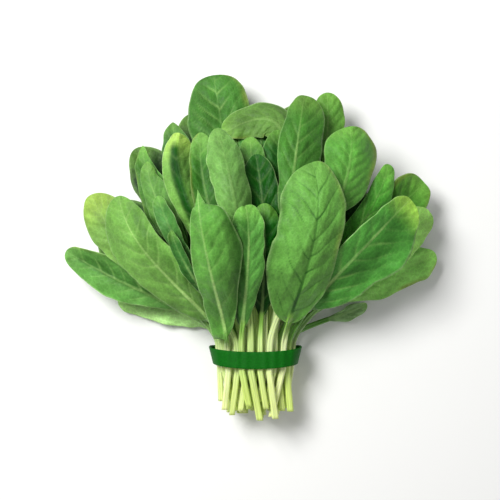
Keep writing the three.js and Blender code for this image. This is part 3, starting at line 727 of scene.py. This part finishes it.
# The fine leaf's grid: x and a are millimetres across and along the leaf, share is the part of its
# half-width, flat the points in plan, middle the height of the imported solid's middle there, bare the
# stalk's half-width, and round is 1 where the stalk is round and 0 where the blade is flat.
def leafGrid(spec, number):
    coarse = coarsePlaces(spec, number)
    packed, worst = packedHeights(spec, number, coarse)
    places = finePlaces(spec, number)
    plan = leafPlan(spec, number, places, leafForm["tipHalfWidth"])
    even = np.linspace(-1, 1, leafGrids[spec["grid"]]["columns"])
    crowded = np.sign(even) * (0.35 * np.abs(even) + 0.65 * np.abs(even) ** 1.8)  # closer by the midrib
    share = lerp(crowded[None, :], np.sin(even * np.pi / 2)[None, :], plan["round"][:, None])
    a = (places - plan["bareStem"])[:, None] + 0 * share
    along = plan["along"][:, None] + 0 * share
    notchAt = a / leafForm["notchRun"] + np.sign(share) * 31
    notch = leafForm["edgeNotch"] * softNoise(notchAt, 0 * a, number + 3)
    notch = notch * smoothstep(along, *leafForm["notchFrom"]) * np.abs(share) ** 6
    notch = notch * (1 - smoothstep(along, *leafForm["notchTo"]))
    flat, x = platePoints(plan, share)
    flat = flat + plan["side"][:, None, :] * (np.sign(share) * notch)[:, :, None]
    middleAlong = smoothThrough(coarse, packed.T, np.tile(places, (len(blades["columns"]), 1))).T
    middle = smoothThrough(blades["columns"], middleAlong, share)
    return {
        "x": x, "a": a, "share": share, "along": along, "flat": flat, "middle": middle, "worst": worst,
        "round": plan["round"][:, None] + 0 * share, "bare": plan["bare"][:, None] + 0 * share,
        "bareStem": plan["bareStem"], "depth": plan["depth"],
    }


def leafSurfaces(spec, number, grid):  # points of the upper face and the underside, and how veins show there
    form = leafForm
    x, a, along, bare = [grid[key] for key in ("x", "a", "along", "bare")]
    onBlade, edge, calm = 1 - grid["round"], np.abs(grid["share"]), 1 - smoothstep(along, *form["tipCalm"])
    vein, quilt = veinPattern(spec, number, x, a)
    vein = vein * onBlade * calm
    onRib = np.sqrt((1 - (x / (bare * (1 - form["ribNarrowing"] * along))) ** 2).clip(0, 1))
    relief = form["quiltHeight"] * quilt * onBlade * (1 - edge ** 4)
    relief = relief * smoothstep(np.abs(x), 0, form["flatByRib"])
    acrossRun, alongRun = form["buckleRuns"]
    relief = relief + form["buckle"] * softNoise(x / acrossRun, a / alongRun, number + 11) * onBlade
    relief = relief + heapFolds(grid["flat"][:, :, 0], grid["flat"][:, :, 1])
    waves = a / form["ruffleRun"] + number * goldenStep + (grid["share"] < 0) * 0.37
    relief = relief + form["ruffle"] * np.sin(2 * np.pi * waves) * edge ** 3 * onBlade * calm

    thin = form["bladeHalf"] * lerp(1.0, 0.1, grid["round"])
    stalkHalf = grid["depth"] / 2 - form["stalkSkin"]
    groove = form["grooveDepth"] * np.exp(-(x / (form["grooveWidth"] * bare)) ** 2)
    raised = form["ribTop"] * (1 - along)
    sunken = -form["grooveDepth"] * (1 - 0.6 * along)
    ribTop = raised if spec["rib"] > 0 else sunken
    up = thin + lerp(ribTop * onRib, stalkHalf * onRib - groove, grid["round"])
    up = up - form["veinDepth"] * vein * (1 - onRib)
    down = thin + lerp(stalkHalf, form["ribEnd"], along ** 0.6) * onRib
    down = down + form["veinBelow"] * vein * (1 - onRib)
    middle = grid["middle"] + relief
    bottom = np.maximum(middle - down, form["least"])
    top = np.maximum(middle + up, bottom + form["least"])
    return [np.concatenate([grid["flat"], z[:, :, None]], axis=2) for z in (top, bottom)] + [vein]


def cutEnd(skinRing, skinLoop, start):  # two rings step in from the skin, and a strip closes the middle
    centre = skinRing.mean(axis=0)
    rings, loops = [], [skinLoop]
    for shrink, sunk in leafForm["cutRings"]:
        ring = centre + (skinRing - centre) * shrink
        ring[:, 1] += sunk
        loops.append(start + len(ring) * len(rings) + np.arange(len(ring)))
        rings.append(ring)
    quads = [quadsOf(outer, inner, np.roll(inner, -1), np.roll(outer, -1))
             for outer, inner in zip(loops, loops[1:])]
    upperHalf, lowerHalf = np.split(loops[-1], 2)
    lowerHalf = lowerHalf[::-1]
    quads.append(quadsOf(upperHalf[:-1], lowerHalf[:-1], lowerHalf[1:], upperHalf[1:]))
    return np.concatenate(rings), np.concatenate(quads)


def makeLeaf(spec, number):
    grid = leafGrid(spec, number)
    top, bottom, vein = leafSurfaces(spec, number, grid)
    rows, count = grid["a"].shape
    upper = np.arange(rows * count).reshape(rows, count)
    lower = upper + rows * count
    skinRing = np.concatenate([top[0], bottom[0, ::-1]])
    skinLoop = np.concatenate([upper[0], lower[0, ::-1]])
    rings, cap = cutEnd(skinRing, skinLoop, 2 * rows * count)
    quads = np.concatenate([
        quadsOf(upper[:-1, :-1], upper[:-1, 1:], upper[1:, 1:], upper[1:, :-1]),
        quadsOf(lower[:-1, :-1], lower[1:, :-1], lower[1:, 1:], lower[:-1, 1:]),
        quadsOf(lower[:-1, 0], upper[:-1, 0], upper[1:, 0], lower[1:, 0]),
        quadsOf(upper[:-1, -1], lower[:-1, -1], lower[1:, -1], upper[1:, -1]),
        quadsOf(upper[-1, :-1], upper[-1, 1:], lower[-1, 1:], lower[-1, :-1]),
        cap,
    ])
    skins = [upperSkin, lowerSkin, stalkSkin, cutSkin]
    upperSlot, lowerSlot, stalkSlot, cutSlot = range(len(skins))
    onBlade = grid["along"][:-1, 0] > leafForm["bladeFrom"]
    upperSlots, lowerSlots = [np.where(onBlade, slot, stalkSlot) for slot in (upperSlot, lowerSlot)]
    slots = np.concatenate([
        np.repeat(upperSlots, count - 1), np.repeat(lowerSlots, count - 1), upperSlots, upperSlots,
        np.full(count - 1, upperSlot), np.full(len(cap), cutSlot),
    ])
    points = np.concatenate([top.reshape(-1, 3), bottom.reshape(-1, 3), rings])
    colours = np.concatenate([
        leafColours(spec, number, grid, vein, False).reshape(-1, 3),
        leafColours(spec, number, grid, vein, True).reshape(-1, 3),
        np.tile(leafPalette["stalkCut"][0], (len(rings), 1)),
    ])
    # Each leaf, and its underside, reads its own layer of the noise textures.
    places = np.stack([grid["x"], grid["a"], 0 * grid["a"] + number * 37.0], axis=-1).reshape(-1, 3)
    places = np.concatenate([places, places + (0, 0, 11), np.zeros((len(rings), 3))])
    piece = buildMesh("leaf_" + spec["name"], points, quads, slots, skins, colours, places)
    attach(piece, "root")
    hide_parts(spec["name"])
    return grid["worst"], len(quads) * 2


worstFit, triangles = 0, 0
for number, spec in enumerate(leaves):
    worst, count = makeLeaf(spec, number)
    worstFit = max(worstFit, worst)
    triangles += count
print("leaves made:", len(leaves), "triangles:", triangles, "worst fit to the packed grid:",
      round(worstFit, 4))

# Tie band: extruded and dusted rubber, cut flat. It looks dull and evenly coloured, with a fine speckle.
bandLook = {
    "ior": 1.52, "specular": 0.14, "roughness": (0.5, 0.66), "bump": 0.35, "bumpHeight": 0.2,
    "green": "#025806", "speckGreen": "#05660A", "speck": 1.1, "speckFrom": 0.4, "speckTo": 0.62,
    "width": 12, "wall": 1.2, "corner": 0.4, "halfWidthLeafSide": 33.5, "halfWidthCutSide": 30.5,
    "halfHeight": 21.8, "flattening": 0.8, "squareness": 3, "bow": 2.2, "bowRest": 0.35,
    "around": 240, "acrossSteps": 8, "cornerSteps": 3, "stemBulge": 0.3,
}


def rubberBand(name):
    material, tree, skin = newMaterial(name, {
        "IOR": bandLook["ior"], "Specular IOR Level": bandLook["specular"],
    })
    place = addNode(tree, "ShaderNodeTexCoord").outputs["Object"]
    speck = addNode(tree, "ShaderNodeTexNoise", {
        "Vector": place, "Scale": 1 / (bandLook["speck"] * mm), "Detail": 3.0, "Roughness": 0.7,
    })
    sharper = addNode(tree, "ShaderNodeMapRange", {
        "Value": speck.outputs["Fac"], "From Min": bandLook["speckFrom"], "From Max": bandLook["speckTo"],
    })
    green = addNode(tree, "ShaderNodeMix", {
        0: sharper.outputs[0],
        6: (*linear(bandLook["green"]), 1), 7: (*linear(bandLook["speckGreen"]), 1),
    }, data_type="RGBA")
    tree.links.new(green.outputs[2], skin.inputs["Base Color"])
    finishSkin(tree, skin, bandLook, speck.outputs["Fac"], speck.outputs["Fac"])
    return material


def makeBand():
    look = bandLook
    turn = 2 * np.pi * (np.arange(look["around"]) + 0.5) / look["around"]
    power = 2 / look["squareness"]
    roundX = np.sign(np.cos(turn)) * np.abs(np.cos(turn)) ** power
    roundZ = np.sign(np.sin(turn)) * np.abs(np.sin(turn)) ** power
    middle = look["halfHeight"] - look["flattening"]
    corner = look["corner"]
    halfBand, wall = look["width"] / 2, look["wall"]
    section = []  # (place along the stems, depth below the outer face), round the band's section
    for y0, d0, start in ((halfBand - corner, corner, 90), (halfBand - corner, wall - corner, 0),
                          (-halfBand + corner, wall - corner, -90), (-halfBand + corner, corner, -180)):
        for k in range(look["cornerSteps"] + 1):
            angle = math.radians(start - 90 * k / look["cornerSteps"])
            section.append((y0 + corner * math.cos(angle), d0 - corner * math.sin(angle)))
    divided = []
    for (y0, d0), (y1, d1) in zip(section, section[1:] + section[:1]):
        pieces = look["acrossSteps"] if abs(y1 - y0) > halfBand else 1
        divided += [(lerp(y0, y1, k / pieces), lerp(d0, d1, k / pieces)) for k in range(pieces)]
    rows = []
    for y, inset in divided:
        share = (y + halfBand) / look["width"]
        half = lerp(look["halfWidthCutSide"], look["halfWidthLeafSide"], share)
        bulge = look["stemBulge"] * np.cos(2 * np.pi * half * roundX / stems["pitchAcross"]) * np.abs(roundZ)
        x = (half - inset) * roundX
        z = middle + (look["halfHeight"] - inset) * roundZ + bulge * (roundZ > 0)
        z = np.maximum(z, inset)
        bow = look["bow"] * (roundX ** 2 - look["bowRest"])
        rows.append(np.stack([x, y + bow, z], axis=1))
    points = np.concatenate(rows)
    corners = np.arange(len(points)).reshape(len(rows), look["around"])
    ahead, nextRow = np.roll(corners, -1, axis=1), np.roll(corners, -1, axis=0)
    quads = quadsOf(corners, nextRow, np.roll(ahead, -1, axis=0), ahead)
    band = buildMesh("band_tie", points, quads, np.zeros(len(quads)),
                     [rubberBand("tie band, dusted extruded rubber")])
    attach(band, "root")
    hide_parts("tie_band")


makeBand()
print("tie band made")

# Plain pale floor and soft studio light from the upper left
studio = {
    "floorColour": "#F7F7F5", "floorHalf": 3000, "world": 0.31, "aim": (0, 80, 40),
    "lights": {
        "key": {"place": (-430, 450, 870), "size": 420, "power": 11.9},
        "fill": {"place": (500, -400, 900), "size": 700, "power": 0.8},
    },
}


def makeStudio():
    half = studio["floorHalf"] * mm
    mesh = bpy.data.meshes.new("floor")
    corners = [(-half, -half, 0), (half, -half, 0), (half, half, 0), (-half, half, 0)]
    mesh.from_pydata(corners, [], [(0, 1, 2, 3)])
    material, tree, skin = newMaterial("floor, matt white paint", {
        "Base Color": (*linear(studio["floorColour"]), 1), "Roughness": 0.9, "Specular IOR Level": 0.1,
    })
    mesh.materials.append(material)
    floor = bpy.data.objects.new("floor", mesh)
    bpy.context.scene.collection.objects.link(floor)
    world = bpy.data.worlds.new("studio")
    world.use_nodes = True
    world.node_tree.nodes["Background"].inputs["Color"].default_value = (1, 1, 1, 1)
    world.node_tree.nodes["Background"].inputs["Strength"].default_value = studio["world"]
    bpy.context.scene.world = world
    for name, look in studio["lights"].items():
        lamp = bpy.data.lights.new(name, "AREA")
        lamp.size = look["size"] * mm
        lamp.energy = look["power"]
        light = bpy.data.objects.new(name, lamp)
        light.location = [c * mm for c in look["place"]]
        x, y, z = [studio["aim"][i] * mm - light.location[i] for i in range(3)]
        light.rotation_euler = (math.atan2(math.hypot(x, y), -z), 0, math.atan2(x, -y) + math.pi)
        bpy.context.scene.collection.objects.link(light)


makeStudio()
bpy.context.scene.view_settings.view_transform = "Standard"
print("studio made")
